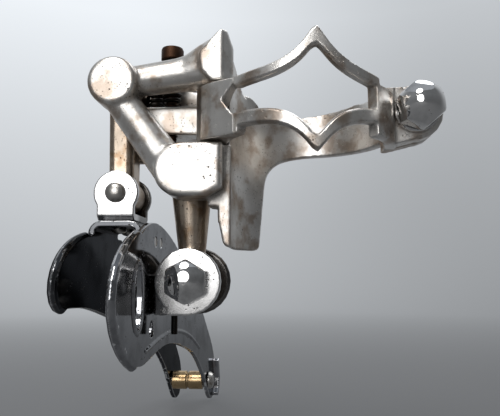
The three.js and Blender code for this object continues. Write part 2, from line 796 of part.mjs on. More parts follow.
function outerClevis() {
  const t = 1.5;
  const base = BRIDGE.high + GAP;
  const ear = new THREE.Shape();
  ear.moveTo(Q1.x - 3.9, base);
  ear.lineTo(Q1.x - 3.9, Q1.z - 2.7);
  ear.absarc(Q1.x, Q1.z, 4.75, Math.PI + 0.606, -0.606, true);
  ear.lineTo(Q1.x + 3.9, base);
  ear.closePath();
  const foot = alongX(
    outline([
      [OUTER_EARS[0], base + 1],
      [OUTER_EARS[0] + 1, base],
      [OUTER_EARS[1] - 1, base],
      [OUTER_EARS[1], base + 1],
      [OUTER_EARS[1], base + t],
      [OUTER_EARS[0], base + t],
    ]),
    Q1.x - 3.9,
    Q1.x + 3.9,
  );
  const corners = box(-60, 0, OUTER_EARS[0] - 0.1, OUTER_EARS[0] + 1, base - 1, base + 1);
  const ears = [OUTER_EARS[0], OUTER_EARS[1] - t].map((y) => alongY(ear, y, y + t));
  const rearCorners = box(-60, 0, OUTER_EARS[1] - 1, OUTER_EARS[1] + 0.1, base - 1, base + 1);
  const raw = join(cut(join(...ears), corners, rearCorners), foot);
  const holes = bridgeRivets.map(({ x, y }) => pinZ(x, y, 1.15, -40, -20, 16));
  return cut(raw, pinY(Q1.x, Q1.z, 1.75, -20, 20), ...holes);
}
add("outer_clevis", outerClevis(), CHROME);

const OUTER_PIN_HEAD = [
  [0, -3.1],
  [1, -2.95],
  [1.8, -2.5],
  [2.1, -1.8],
  [1.6, -1.8],
  [1.6, 11.2],
  [2.1, 11.2],
  [1.7, 12],
  [0, 12.2],
];
add("outer_cage_pin", turned(Q1.x, Q1.z, OUTER_PIN_HEAD), STEEL);

// ---------------------------------------------------------------- bracket on the inner plate (inner link)
function innerBracket() {
  const t = 1.5;
  const [front, back] = [-1.5, 13.9];
  const base = INNER_X + GAP;
  const channel = new THREE.Shape();
  channel.moveTo(Q2.x, front);
  channel.lineTo(base + 3.4, front);
  channel.quadraticCurveTo(base, front, base, front + 3.2);
  channel.lineTo(base, back - 3.2);
  channel.quadraticCurveTo(base, back, base + 3.4, back);
  channel.lineTo(Q2.x, back);
  channel.lineTo(Q2.x, back - t);
  channel.lineTo(base + 3.4, back - t);
  channel.quadraticCurveTo(base + t, back - t, base + t, back - 3.2);
  channel.lineTo(base + t, front + 3.2);
  channel.quadraticCurveTo(base + t, front + t, base + 3.4, front + t);
  channel.lineTo(Q2.x, front + t);
  channel.closePath();
  const low = Q2.z - 6.85;
  const strip = alongZ(channel, low, Q2.z + 1.4, 6);
  const frontEar = alongY(disc(Q2.x, Q2.z, 6.85), front, front + t, { curve: 12 });
  const rearEar = alongY(disc(Q2.x, Q2.z, 7.5), back - t, back, { round: 0.5, curve: 12 });
  const holes = baseRivets.map(({ y, z }) => pinX(-37, -25, y, z, 1.15, 16));
  return cut(join(strip, frontEar, rearEar), pinY(Q2.x, Q2.z, 2.3, -20, 20), ...holes);
}
add("inner_bracket", innerBracket(), CHROME);

add(
  "inner_cage_bolt",
  join(hexHead(Q2.x, Q2.z, 8, -1.8, 4.4, 1.6, 16), pinY(Q2.x, Q2.z, 2.2, -2, 17.6)),
  CHROME,
);
add(
  "inner_cage_nut",
  cut(
    solid(new THREE.CylinderGeometry(4.62, 4.62, 3.2, 6).translate(Q2.x, 15.8, Q2.z)),
    pinY(Q2.x, Q2.z, 2.3, -20, 30),
  ),
  STEEL,
);
add(
  "inner_cage_sleeve",
  cut(pinY(Q2.x, Q2.z, 3.1, 0.3, 12.1), pinY(Q2.x, Q2.z, 2.3, -20, 30)),
  STEEL,
);

// Torsion spring on the sleeve. One leg hangs down past the bracket.
function returnSpring() {
  const meanR = 4.2;
  const wire = 0.75;
  const perTurn = 14;
  const points = [];
  for (let i = 0; i <= 2.5 * perTurn; i++) {
    const a = (i / perTurn) * 2 * Math.PI;
    points.push(
      new THREE.Vector3(Q2.x + meanR * Math.cos(a), 11.2 - (1.6 * i) / perTurn, Q2.z + meanR * Math.sin(a)),
    );
  }
  const end = points[points.length - 1];
  for (const drop of [3, 6.5, 9, 11.4]) points.push(new THREE.Vector3(end.x, end.y - 0.05, end.z - drop));
  return sweep(points, wire, 8);
}
add("return_spring", returnSpring(), BLACK_STEEL);

// ---------------------------------------------------------------- rivets
// A rivet along its own axis: domed head at one end, flush shank at the other.
function rivet(axis, at, length) {
  const profile = [
    [0, -0.9],
    [1, -0.75],
    [1.7, 0],
    [1, 0],
    [1, length],
    [0, length],
  ];
  const points = profile.map(([r, y]) => new THREE.Vector2(r, y));
  const turn = new THREE.Quaternion().setFromUnitVectors(new THREE.Vector3(0, 1, 0), axis);
  return solid(new THREE.LatheGeometry(points, 12).applyQuaternion(turn).translate(...at));
}
const UP = new THREE.Vector3(0, 0, 1);
const RIGHT = new THREE.Vector3(1, 0, 0);
bridgeRivets.forEach(({ x, y }, i) =>
  add(`bridge_rivet_${i + 1}`, rivet(UP, [x, y, BRIDGE.low - 0.25], 2.9), STEEL),
);
tabRivets.forEach(({ y, z }, i) =>
  add(`tab_rivet_${i + 1}`, rivet(RIGHT, [INNER_X - 2 * SHEET - GAP - 0.25, y, z], 3.1), STEEL),
);
baseRivets.forEach(({ y, z }, i) =>
  add(`bracket_rivet_${i + 1}`, rivet(RIGHT, [INNER_X - SHEET - 0.25, y, z], 3), STEEL),
);

export default part;
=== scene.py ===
"""Looks of a clamp-on front derailleur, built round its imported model. Lengths are in metres."""

import json
import math

import bmesh
import bpy
import numpy as np
from bpy.props import FloatProperty, FloatVectorProperty, IntProperty, PointerProperty
from mathutils import Matrix, Vector


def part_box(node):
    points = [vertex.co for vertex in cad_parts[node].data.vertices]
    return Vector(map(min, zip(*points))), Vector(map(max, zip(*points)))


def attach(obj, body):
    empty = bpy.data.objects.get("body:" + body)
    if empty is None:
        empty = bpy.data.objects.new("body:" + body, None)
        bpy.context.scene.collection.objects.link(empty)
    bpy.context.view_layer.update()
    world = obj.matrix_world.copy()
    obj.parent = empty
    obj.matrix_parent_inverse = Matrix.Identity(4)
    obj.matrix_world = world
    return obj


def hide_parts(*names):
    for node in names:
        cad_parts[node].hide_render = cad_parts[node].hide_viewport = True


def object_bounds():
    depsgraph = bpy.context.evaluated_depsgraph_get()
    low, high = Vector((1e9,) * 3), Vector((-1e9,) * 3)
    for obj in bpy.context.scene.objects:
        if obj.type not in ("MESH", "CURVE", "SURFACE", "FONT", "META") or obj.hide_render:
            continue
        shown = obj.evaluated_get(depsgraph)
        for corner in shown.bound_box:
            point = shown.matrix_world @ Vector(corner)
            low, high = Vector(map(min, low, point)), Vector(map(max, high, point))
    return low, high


bl_info = {
    "name": "Front Derailleur Finish",
    "version": (1, 0, 0),
    "blender": (4, 5, 0),
    "location": "View3D > Sidebar > Derailleur",
    "description": "Castings, plated sheet, fasteners, springs and studio for a front derailleur",
    "category": "Object",
}

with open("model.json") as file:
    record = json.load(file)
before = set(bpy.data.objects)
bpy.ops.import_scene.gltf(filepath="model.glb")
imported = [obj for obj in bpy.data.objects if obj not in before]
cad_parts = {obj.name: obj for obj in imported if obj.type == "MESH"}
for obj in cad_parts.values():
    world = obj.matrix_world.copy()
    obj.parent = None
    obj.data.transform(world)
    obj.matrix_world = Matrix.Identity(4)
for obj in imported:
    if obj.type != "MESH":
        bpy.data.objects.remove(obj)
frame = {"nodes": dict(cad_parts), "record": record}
CAD_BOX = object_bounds()
RECORD = frame["record"]
MM = 0.001


def mount(name):
    return next(m for m in RECORD["mounts"] if m["name"] == name)


BODY_OF = {n: b for b, nodes in RECORD["behaviour"]["bodies"].items() for n in nodes}
SLOT_OF = {row["node"]: row["material_slot"] for row in RECORD["subparts"]}
TUBE_R = mount("seat_tube_clamp")["dims"]["r_mm"] * MM


# ------------------------------------------------------------------ settings
class CastingSettings(bpy.types.PropertyGroup):
    """Sizes and colours of the cast alloy pieces"""

    voxel: FloatProperty(
        name="Voxel", description="Grain of the casting mesh", default=0.3 * MM, unit="LENGTH"
    )
    fine: FloatProperty(
        name="Fine voxel", description="Grain of the small castings", default=0.2 * MM, unit="LENGTH"
    )
    passes: IntProperty(name="Softening", description="Smoothing passes over the edges", default=9)
    bright: FloatVectorProperty(
        name="Bright", description="Worn alloy", default=(0.80, 0.775, 0.74), subtype="COLOR"
    )
    dull: FloatVectorProperty(
        name="Dull", description="Oxidised alloy", default=(0.52, 0.49, 0.45), subtype="COLOR"
    )
    warm: FloatVectorProperty(
        name="Warm",
        description="Tarnished alloy of the links",
        default=(0.60, 0.50, 0.40),
        subtype="COLOR",
    )


class PlateSettings(bpy.types.PropertyGroup):
    """Sizes and colours of the chrome-plated sheet"""

    voxel: FloatProperty(
        name="Voxel", description="Grain of the sheet mesh", default=0.2 * MM, unit="LENGTH"
    )
    fine: FloatProperty(
        name="Fine voxel", description="Grain of the small brackets", default=0.14 * MM, unit="LENGTH"
    )
    passes: IntProperty(name="Softening", description="Smoothing passes over the edges", default=6)
    chrome: FloatVectorProperty(
        name="Chrome", description="Plating of the cage", default=(0.36, 0.365, 0.38), subtype="COLOR"
    )
    # Painted shade: a near-black copy of the chrome for the outer plate. Its dark tone is painted shade
    # and dark reflection, not dirt on the plating.
    shaded: FloatVectorProperty(
        name="Shaded chrome",
        description="Dirty plating of the outer plate",
        default=(0.085, 0.088, 0.094),
        subtype="COLOR",
    )
    # Painted light: a brighter copy of the chrome, standing in for the lamps that light the front-facing
    # bracket ears; the bolts use it too.
    bright: FloatVectorProperty(
        name="Bright chrome", description="Plating of brackets and bolts",
        default=(0.80, 0.79, 0.78), subtype="COLOR"
    )
    rust: FloatVectorProperty(
        name="Rust", description="Rust in the folds", default=(0.16, 0.055, 0.018), subtype="COLOR"
    )


class FastenerSettings(bpy.types.PropertyGroup):
    """Sizes and colours of bolts, pins, screws and springs"""

    sides: IntProperty(name="Sides", description="Facets round a turned piece", default=64)
    chamfer: FloatProperty(
        name="Chamfer", description="Broken edge of a pin", default=0.25 * MM, unit="LENGTH"
    )
    thread: FloatProperty(
        name="Thread", description="Pitch of the screw threads", default=0.7 * MM, unit="LENGTH"
    )
    steel: FloatVectorProperty(
        name="Steel", description="Plated steel", default=(0.50, 0.48, 0.45), subtype="COLOR"
    )
    # Partly rust and partly painted shade: the limit screws are darkened to a near-black brown for the
    # shade they sit in.
    rust_and_shade: FloatVectorProperty(
        name="Rusty steel", description="Limit screws", default=(0.035, 0.022, 0.017), subtype="COLOR"
    )
    black: FloatVectorProperty(
        name="Black steel", description="Spring wire", default=(0.02, 0.019, 0.018), subtype="COLOR"
    )
    bronze: FloatVectorProperty(
        name="Bronze", description="Bush and spacer", default=(0.50, 0.36, 0.20), subtype="COLOR"
    )


class StageSettings(bpy.types.PropertyGroup):
    """Camera, floor and lights"""

    lens: FloatProperty(name="Lens", description="Focal length in millimetres", default=39.6)
    place: FloatVectorProperty(
        name="Camera", description="Place of the camera",
        default=(-0.00453, -0.11335, -0.03344), subtype="TRANSLATION"
    )
    azimuth: FloatProperty(
        name="Azimuth",
        description="Turn of the view from +Y",
        default=math.radians(3.61),
        subtype="ANGLE",
    )
    rise: FloatProperty(
        name="Rise", description="Upward tilt of the view", default=math.radians(6.84), subtype="ANGLE"
    )
    bowl: FloatProperty(
        name="Bowl", description="Radius of the studio bowl", default=0.9, unit="LENGTH"
    )
    floor: FloatVectorProperty(
        name="Floor", description="Colour of the floor", default=(0.47, 0.49, 0.51), subtype="COLOR"
    )
    wall: FloatVectorProperty(
        name="Wall", description="Colour high up the wall", default=(0.84, 0.88, 0.92), subtype="COLOR"
    )
    front_share: FloatProperty(
        name="Front", description="Share of the glow in front of the derailleur", default=0.22
    )
    right_share: FloatProperty(name="Right", description="Share of the glow on the right", default=0.62)
    glow: FloatProperty(name="Glow", description="Light that the paper lets through", default=1.0)


GROUPS = {
    "derailleur_castings": CastingSettings,
    "derailleur_plates": PlateSettings,
    "derailleur_fasteners": FastenerSettings,
    "derailleur_stage": StageSettings,
}


# ------------------------------------------------------------------ shader building
def shader(tree, kind, inputs=(), **settings):
    made = tree.nodes.new(kind)
    for key, value in settings.items():
        setattr(made, key, value)
    for key, value in dict(inputs).items():
        if isinstance(value, bpy.types.NodeSocket):
            tree.links.new(value, made.inputs[key])
        else:
            made.inputs[key].default_value = value
    return made


def ramp(tree, value, low, high, out_low=0.0, out_high=1.0):
    """A smooth step of a value from low to high."""
    made = shader(
        tree,
        "ShaderNodeMapRange",
        {"Value": value, "From Min": low, "From Max": high, "To Min": out_low, "To Max": out_high},
        interpolation_type="SMOOTHSTEP",
    )
    return made.outputs["Result"]


def math_of(tree, operation, a, b):
    made = shader(tree, "ShaderNodeMath", {0: a, 1: b}, operation=operation, use_clamp=True)
    return made.outputs[0]


def blend_of(tree, factor, a, b):
    """The colour a, changing to b where factor is 1."""
    colours = {6: a if isinstance(a, bpy.types.NodeSocket) else (*a, 1.0), 7: (*b, 1.0)}
    made = shader(tree, "ShaderNodeMix", {0: factor, **colours}, data_type="RGBA")
    return made.outputs[2]


def noise(tree, where, scale, detail=4.0, roughness=0.55):
    """Cloudy noise around 0.5, with scale in clouds per metre."""
    settings = {"Vector": where, "Scale": scale, "Detail": detail, "Roughness": roughness}
    return shader(tree, "ShaderNodeTexNoise", settings).outputs["Fac"]


def hollows(tree, reach, low=0.45, high=0.92):
    """1 in corners and crevices that are narrower than reach, and 0 on open faces."""
    made = shader(tree, "ShaderNodeAmbientOcclusion", {"Distance": reach}, samples=6, only_local=True)
    return ramp(tree, made.outputs["AO"], low, high, 1.0, 0.0)


def spots(tree, where, scale, size, share):
    """Small round marks: size is their reach in cells, and share is how much of the surface has them."""
    cells = shader(tree, "ShaderNodeTexVoronoi", {"Vector": where, "Scale": scale}, feature="F1")
    near = ramp(tree, cells.outputs["Distance"], size * 0.5, size, 1.0, 0.0)
    field = noise(tree, where, scale * 0.17, 3.0)
    return math_of(tree, "MULTIPLY", near, ramp(tree, field, 1.0 - share, 1.06 - share))


FINISHED = "_finish"


def new_material(name):
    """An empty material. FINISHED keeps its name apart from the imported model's own materials."""
    made = bpy.data.materials.new(name + FINISHED)
    made.use_nodes = True
    made.node_tree.nodes.clear()
    return made, made.node_tree


def finish_shader(tree, colour, roughness, height, bump_reach, metallic=1.0, edge_tint=1.0):
    """Colour, roughness and a height in metres, all joined to one metallic surface."""
    bump = shader(tree, "ShaderNodeBump", {"Height": height, "Strength": 1.0, "Distance": bump_reach})
    surface = shader(
        tree,
        "ShaderNodeBsdfPrincipled",
        {
            "Base Color": colour,
            "Roughness": roughness,
            "Metallic": metallic,
            "Specular Tint": (edge_tint, edge_tint, edge_tint, 1.0),
            "Normal": bump.outputs[0],
        },
    )
    shader(tree, "ShaderNodeOutputMaterial", {"Surface": surface.outputs[0]})


# Dark colour for pits and dirt, also used as painted shade in hollows, folds and on the rear ears.
GRIME_AND_SHADE = (0.035, 0.028, 0.022)
TARNISH = (0.30, 0.19, 0.11)
# Pale steel for the lips: partly bare steel where the chrome is rubbed, partly a painted highlight.
BARE_STEEL_AND_SHEEN = (0.85, 0.85, 0.86)


def cast_metal(name, bright, dull, gloss, stain):
    """Worn satin casting: cloudy oxide, brown tarnish, fine grain, dark pits, and dirt with painted
    shade in the corners.
    """
    made, tree = new_material(name)
    where = shader(tree, "ShaderNodeTexCoord").outputs["Object"]
    cloud = noise(tree, where, 95.0, 6.0, 0.62)
    grain = noise(tree, where, 1500.0, 5.0, 0.6)
    pits = spots(tree, where, 820.0, 0.2, 0.47)
    specks = spots(tree, where, 1900.0, 0.27, 0.5)
    dirt_and_shade = hollows(tree, 2.8 * MM, 0.6, 0.98)
    stains = ramp(tree, noise(tree, where, 210.0, 5.0), 0.46, 0.64)
    stains = math_of(tree, "MULTIPLY", stains, stain)
    tone = blend_of(tree, ramp(tree, cloud, 0.38, 0.72), bright, dull)
    tone = blend_of(tree, stains, tone, TARNISH)
    tone = blend_of(tree, math_of(tree, "MULTIPLY", pits, 0.75), tone, GRIME_AND_SHADE)
    tone = blend_of(tree, math_of(tree, "MULTIPLY", specks, 0.5), tone, GRIME_AND_SHADE)
    # Dirt and painted shade: the corner mask, broken up by the grain, darkens the hollows.
    patchy = math_of(tree, "MULTIPLY", dirt_and_shade, ramp(tree, grain, 0.25, 0.6, 0.55, 1.0))
    tone = blend_of(tree, patchy, tone, GRIME_AND_SHADE)
    low = math_of(tree, "ADD", pits, math_of(tree, "MULTIPLY", specks, 0.45))
    foul_and_shade = math_of(tree, "ADD", low, patchy)
    dulling = math_of(tree, "ADD", math_of(tree, "MULTIPLY", cloud, 0.4), foul_and_shade)
    rough = ramp(tree, dulling, 0.15, 0.9, gloss, 0.8)
    height = math_of(tree, "ADD", math_of(tree, "MULTIPLY", grain, 0.55), 0.4)
    height = math_of(tree, "SUBTRACT", height, low)
    finish_shader(tree, tone, rough, height, 0.05 * MM, ramp(tree, foul_and_shade, 0.1, 0.7, 1.0, 0.0))
    return made


def plated_metal(name, colour, rust, gloss, rust_share, rear_shade=0.0, worn_edge_and_sheen=0.0, edge_tint=1.0):
    """Old chrome with haze, fine scratches, pinhole pits and rust in the folds.

    sheltered is how much painted shade darkens the rear ears, and worn_edge_and_sheen is how brightly
    the lips are lightened, partly as rubbed wear and partly as a painted highlight.
    """
    made, tree = new_material(name)
    where = shader(tree, "ShaderNodeTexCoord").outputs["Object"]
    haze = noise(tree, where, 160.0, 6.0, 0.65)
    brushed = shader(tree, "ShaderNodeMapping", {"Vector": where, "Scale": (1.0, 0.12, 1.0)})
    scratches = noise(tree, brushed.outputs[0], 2600.0, 3.0, 0.7)
    pits = spots(tree, where, 1250.0, 0.26, 0.47)
    fold = hollows(tree, 1.3 * MM, 0.4, 0.88)
    patch = ramp(tree, noise(tree, where, 420.0, 7.0, 0.7), 0.62 - rust_share, 0.72 - rust_share)
    rusted = math_of(tree, "MULTIPLY", fold, patch)
    loose = ramp(tree, noise(tree, where, 260.0, 8.0, 0.72), 0.66, 0.74)
    rusted = math_of(tree, "ADD", rusted, math_of(tree, "MULTIPLY", loose, rust_share))
    dulled = tuple(c * 0.62 for c in colour)
    tone = blend_of(tree, ramp(tree, haze, 0.42, 0.7), colour, dulled)
    # Dirt and painted shade: the fold mask darkens the creases.
    tone = blend_of(tree, math_of(tree, "MULTIPLY", fold, 0.6), tone, GRIME_AND_SHADE)
    # Painted shade: the piece grows darker towards +Y, so the rear ears behind the front ones are
    # blended towards the dark colour.
    if rear_shade:
        depth = shader(tree, "ShaderNodeSeparateXYZ", {"Vector": where}).outputs["Y"]
        tone = blend_of(tree, ramp(tree, depth, 1.5 * MM, 4.5 * MM, 0.0, rear_shade), tone, GRIME_AND_SHADE)
    # Sharp lips are lightened towards pale steel, partly as rubbed wear and partly as a painted
    # highlight.
    if worn_edge_and_sheen:
        edge = shader(tree, "ShaderNodeNewGeometry").outputs["Pointiness"]
        tone = blend_of(tree, ramp(tree, edge, 0.515, 0.56, 0.0, worn_edge_and_sheen), tone, BARE_STEEL_AND_SHEEN)
    tone = blend_of(tree, rusted, tone, rust)
    tone = blend_of(tree, pits, tone, GRIME_AND_SHADE)
    broken = math_of(tree, "ADD", rusted, pits)
    worn = math_of(tree, "ADD", broken, math_of(tree, "MULTIPLY", haze, 0.16))
    rough = ramp(tree, worn, 0.05, 0.9, gloss, 0.75)
    metallic = ramp(tree, broken, 0.2, 0.9, 1.0, 0.1)
    height = math_of(tree, "ADD", math_of(tree, "MULTIPLY", scratches, 0.12), 0.6)
    height = math_of(tree, "SUBTRACT", height, pits)
    height = math_of(tree, "ADD", height, math_of(tree, "MULTIPLY", rusted, 0.3))
    finish_shader(tree, tone, rough, height, 0.02 * MM, metallic, edge_tint)
    return made


def small_metal(name, colour, stain, gloss, stained):
    """Turned steel or bronze: fine grain, cloudy stain, and dirt with painted shade in the corners."""
    made, tree = new_material(name)
    where = shader(tree, "ShaderNodeTexCoord").outputs["Object"]
    cloud = noise(tree, where, 480.0, 6.0, 0.65)
    grain = noise(tree, where, 3200.0, 4.0, 0.6)
    dirt_and_shade = hollows(tree, 0.9 * MM)
    tone = blend_of(tree, ramp(tree, cloud, 0.62 - stained, 0.86 - stained), colour, stain)
    # Dirt and painted shade: the corner mask darkens the hollows.
    tone = blend_of(tree, dirt_and_shade, tone, GRIME_AND_SHADE)
    dulling = math_of(tree, "ADD", math_of(tree, "MULTIPLY", cloud, 0.6), dirt_and_shade)
    rough = ramp(tree, dulling, 0.2, 1.0, gloss, gloss + 0.35)
    metallic = ramp(tree, cloud, 0.55, 0.8, 1.0, 1.0 - 0.6 * stained)
    finish_shader(tree, tone, rough, grain, 0.018 * MM, metallic)
    return made


def cast_alloy():
    s = bpy.context.scene.derailleur_castings
    return cast_metal("cast_alloy", tuple(s.bright), tuple(s.dull), 0.34, 0.6)


def link_alloy():
    s = bpy.context.scene.derailleur_castings
    return cast_metal("link_alloy", tuple(s.warm), tuple(c * 0.5 for c in s.warm), 0.3, 0.85)


def cage_chrome():
    s = bpy.context.scene.derailleur_plates
    chrome = tuple(s.chrome)
    return plated_metal("chrome", chrome, tuple(s.rust), 0.08, 0.2, worn_edge_and_sheen=0.9, edge_tint=0.6)


# Painted shade: the outer plate's chrome, darkened in base colour and given a low edge tint that dims
# its grazing reflections.
def shaded_chrome():
    s = bpy.context.scene.derailleur_plates
    shaded = tuple(s.shaded)
    return plated_metal("shaded_chrome", shaded, tuple(s.rust), 0.12, 0.2, worn_edge_and_sheen=0.8, edge_tint=0.45)


# Painted light on the front ears from the brighter chrome copy, and painted shade on the rear ears from
# the darkening towards +Y.
def bright_chrome():
    s = bpy.context.scene.derailleur_plates
    return plated_metal("bright_chrome", tuple(s.bright), tuple(s.rust), 0.2, 0.3, rear_shade=0.85)


# The bolts share the brighter chrome copy that paints light on the front-facing brackets.
def bolt_chrome():
    s = bpy.context.scene.derailleur_plates
    return plated_metal("chrome_bolt", tuple(s.bright), tuple(s.rust), 0.06, 0.05)


def zinc_steel():
    s = bpy.context.scene.derailleur_fasteners
    return small_metal("zinc_steel", tuple(s.steel), (0.16, 0.11, 0.07), 0.28, 0.12)


# The limit screws' near-black brown is partly rust and partly painted shade.
def rusty_steel():
    s = bpy.context.scene.derailleur_fasteners
    return small_metal("rusty_steel", tuple(s.rust_and_shade), (0.06, 0.03, 0.018), 0.5, 0.3)


def black_spring():
    s = bpy.context.scene.derailleur_fasteners
    return small_metal("black_spring", tuple(s.black), (0.035, 0.022, 0.015), 0.3, 0.15)


def bronze():
    s = bpy.context.scene.derailleur_fasteners
    return small_metal("bronze", tuple(s.bronze), (0.22, 0.13, 0.06), 0.22, 0.14)


FINISHES = {
    "cast_alloy": cast_alloy,
    "link_alloy": link_alloy,
    "chrome": cage_chrome,
    "shaded_chrome": shaded_chrome,
    "bright_chrome": bright_chrome,
    "chrome_bolt": bolt_chrome,
    "zinc_steel": zinc_steel,
    "rusty_steel": rusty_steel,
    "black_spring": black_spring,
    "bronze": bronze,
}


def finish_of(name):
    """The finish with this name, made once."""
    return bpy.data.materials.get(name + FINISHED) or FINISHES[name]()


# ------------------------------------------------------------------ mesh building
def adopt(piece, node, finish=None):
    """Puts a piece in the place of a CAD node: on its body, with its slot and its finish."""
    slot = SLOT_OF[node]
    piece.data.materials.clear()
    piece.data.materials.append(finish_of(finish or slot))
    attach(piece, BODY_OF[node])
    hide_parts(node)
    return piece


def new_piece(name, mesh):
    piece = bpy.data.objects.new(name, mesh)
    bpy.context.scene.collection.objects.link(piece)
    return piece


def shade_smooth(mesh):
    mesh.polygons.foreach_set("use_smooth", [True] * len(mesh.polygons))
    mesh.update()


def bake_modifiers(piece):
    """The mesh as its modifiers leave it becomes the piece's own mesh."""
    bpy.context.view_layer.update()
    graph = bpy.context.evaluated_depsgraph_get()
    done = bpy.data.meshes.new_from_object(piece.evaluated_get(graph))
    piece.modifiers.clear()
    piece.data = done
    return piece


def points_of(mesh):
    co = np.zeros(len(mesh.vertices) * 3)
    mesh.vertices.foreach_get("co", co)
    return co.reshape(-1, 3)


def set_points(mesh, co):
    mesh.vertices.foreach_set("co", co.astype(np.float32).ravel())
    mesh.update()


def recast(node, voxel, passes, finish=None, settle=None):
    """A fine, softened copy of a CAD node. settle(points) puts some points back on true faces."""
    mesh = frame["nodes"][node].data.copy()
    work = bmesh.new()
    work.from_mesh(mesh)
    bmesh.ops.remove_doubles(work, verts=work.verts, dist=MM * 1e-3)
    work.to_mesh(mesh)
    work.free()
    piece = new_piece(node + "_form", mesh)
    grain = piece.modifiers.new("grain", "REMESH")
    grain.mode = "VOXEL"
    grain.voxel_size = voxel
    soften = piece.modifiers.new("soften", "SMOOTH")
    soften.factor = 0.5
    soften.iterations = passes
    bake_modifiers(piece)
    if settle:
        set_points(piece.data, settle(points_of(piece.data)))
    shade_smooth(piece.data)
    return adopt(piece, node, finish)


NEAR_TUBE = 0.14 * MM


def on_tube(radii):
    """Points close to one of the radii about the seat tube's axis go exactly onto it."""

    def settle(co):
        r = np.hypot(co[:, 0], co[:, 1])
        for radius in radii:
            close = np.abs(r - radius) < NEAR_TUBE
            co[close, :2] *= (radius / r[close])[:, None]
        return co

    return settle


def rings_to_mesh(name, rings, loop=False, caps=True):
    """A mesh through rings of points with equal counts. loop joins the last ring to the first."""
    n = len(rings[0])
    count = len(rings)
    spans = count if loop else count - 1
    faces = []
    for i in range(spans):
        here, there = i * n, (i + 1) % count * n
        for j in range(n):
            k = (j + 1) % n
            faces.append((here + j, here + k, there + k, there + j))
    if caps and not loop:
        faces.append(tuple(reversed(range(n))))
        faces.append(tuple((count - 1) * n + j for j in range(n)))
    mesh = bpy.data.meshes.new(name)
    mesh.from_pydata(np.concatenate(rings).tolist(), [], faces)
    work = bmesh.new()
    work.from_mesh(mesh)
    bmesh.ops.recalc_face_normals(work, faces=work.faces)
    work.to_mesh(mesh)
    work.free()
    return mesh


AXES = {"x": Vector((1, 0, 0)), "y": Vector((0, 1, 0)), "z": Vector((0, 0, 1))}


def frame_of(axis):
    """Two directions across the axis, for points listed as across, across, along."""
    along = Vector(axis).normalized()
    first = along.orthogonal().normalized() if abs(along.z) < 0.9 else Vector((1, 0, 0))
    second = along.cross(first)
    return np.array(first), np.array(second), np.array(along)


def lathe(name, centre, axis, profile, hollow=False):
    """A turned mesh: profile lists (radius, place along the axis), as numbers or functions of angle."""
    sides = bpy.context.scene.derailleur_fasteners.sides
    first, second, along = frame_of(axis)
    angle = np.linspace(0, 2 * math.pi, sides, endpoint=False)
    around = first * np.cos(angle)[:, None] + second * np.sin(angle)[:, None]
    rings = []
    for radius, place in profile:
        r = radius(angle) if callable(radius) else np.full(sides, radius)
        y = place(angle) if callable(place) else np.full(sides, place)
        rings.append(np.array(centre) + around * r[:, None] + along * y[:, None])
    return rings_to_mesh(name, rings, loop=hollow)


ROUNDING_STEPS = 4


def rounded(profile, reach):
    """A profile with its inner corners rounded off."""
    done = [profile[0]]
    for before, corner, after in zip(profile, profile[1:], profile[2:]):
        a, b, c = (np.array(p, float) for p in (before, corner, after))
        cut = min(reach, 0.45 * np.linalg.norm(a - b), 0.45 * np.linalg.norm(c - b))
        start = b + (a - b) / max(np.linalg.norm(a - b), 1e-9) * cut
        end = b + (c - b) / max(np.linalg.norm(c - b), 1e-9) * cut
        for t in np.linspace(0, 1, ROUNDING_STEPS + 1):
            done.append(tuple((1 - t) ** 2 * start + 2 * t * (1 - t) * b + t * t * end))
    done.append(profile[-1])
    return done


TINY = 0.01 * MM


HEX_CORNER = 1 / math.cos(math.pi / 6)
BLUNTING = 0.025


def hexagon(turn):
    """Radius of a hexagon of unit apothem against angle, with slightly blunted corners."""

    def shape(angle):
        folded = np.mod(angle - turn, math.pi / 3) - math.pi / 6
        return np.minimum(1 / np.cos(folded), HEX_CORNER - BLUNTING)

    return shape


def centre_of(node):
    low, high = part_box(node)
    return (low + high) / 2


def size_of(node):
    low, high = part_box(node)
    return high - low


def lathe_piece(node, axis, profile, hollow=False):
    """A turned piece in the place of a CAD node. Places along the axis are the frame's own."""
    centre = centre_of(node)
    centre["xyz".index(axis)] = 0
    mesh = lathe(node + "_form", centre, AXES[axis], profile, hollow)
    shade_smooth(mesh)
    piece = new_piece(node + "_form", mesh)
    return adopt(crisp(piece), node)


SHARP = math.radians(32)


def crisp(piece):
    """Smooth shading that keeps the sharp edges of a turned or hexagonal piece."""
    work = bmesh.new()
    work.from_mesh(piece.data)
    for edge in work.edges:
        if len(edge.link_faces) == 2:
            edge.smooth = edge.calc_face_angle(0.0) < SHARP
    work.to_mesh(piece.data)
    work.free()
    return piece


def ends_of(node, axis):
    low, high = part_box(node)
    i = "xyz".index(axis)
    return low[i], high[i]


# ------------------------------------------------------------------ cast pieces
BODY_RADII = (TUBE_R, TUBE_R + 2.4 * MM)
STRAP_RADII = (TUBE_R + 0.2 * MM, TUBE_R + 2.5 * MM)


def make_castings():
    s = bpy.context.scene.derailleur_castings
    recast("body_casting", s.voxel, s.passes, settle=on_tube(BODY_RADII))
    recast("clamp_strap", s.fine, s.passes + 3, settle=on_tube(STRAP_RADII))


def make_links():
    s = bpy.context.scene.derailleur_castings
    for node in ("outer_link", "inner_link", "cable_arm"):
        recast(node, s.fine, s.passes)


# ------------------------------------------------------------------ plated sheet
SHEET = 1.3 * MM
FACES = {"cage_outer_plate": -43.5 * MM, "cage_inner_plate": -32.1 * MM}  # X of the face towards +X
# The outer plate takes the near-black chrome copy, which is painted shade.
PLATE_FINISH = {"cage_outer_plate": "shaded_chrome", "cage_inner_plate": "chrome"}
LEAN = 0.066  # slope of the plates behind BEND_Y
BEND_Y = 20 * MM
BEND_REACH = 5 * MM
NEAR_SHEET = 0.2 * MM
NEAR_SHEET_FADE = 0.1 * MM


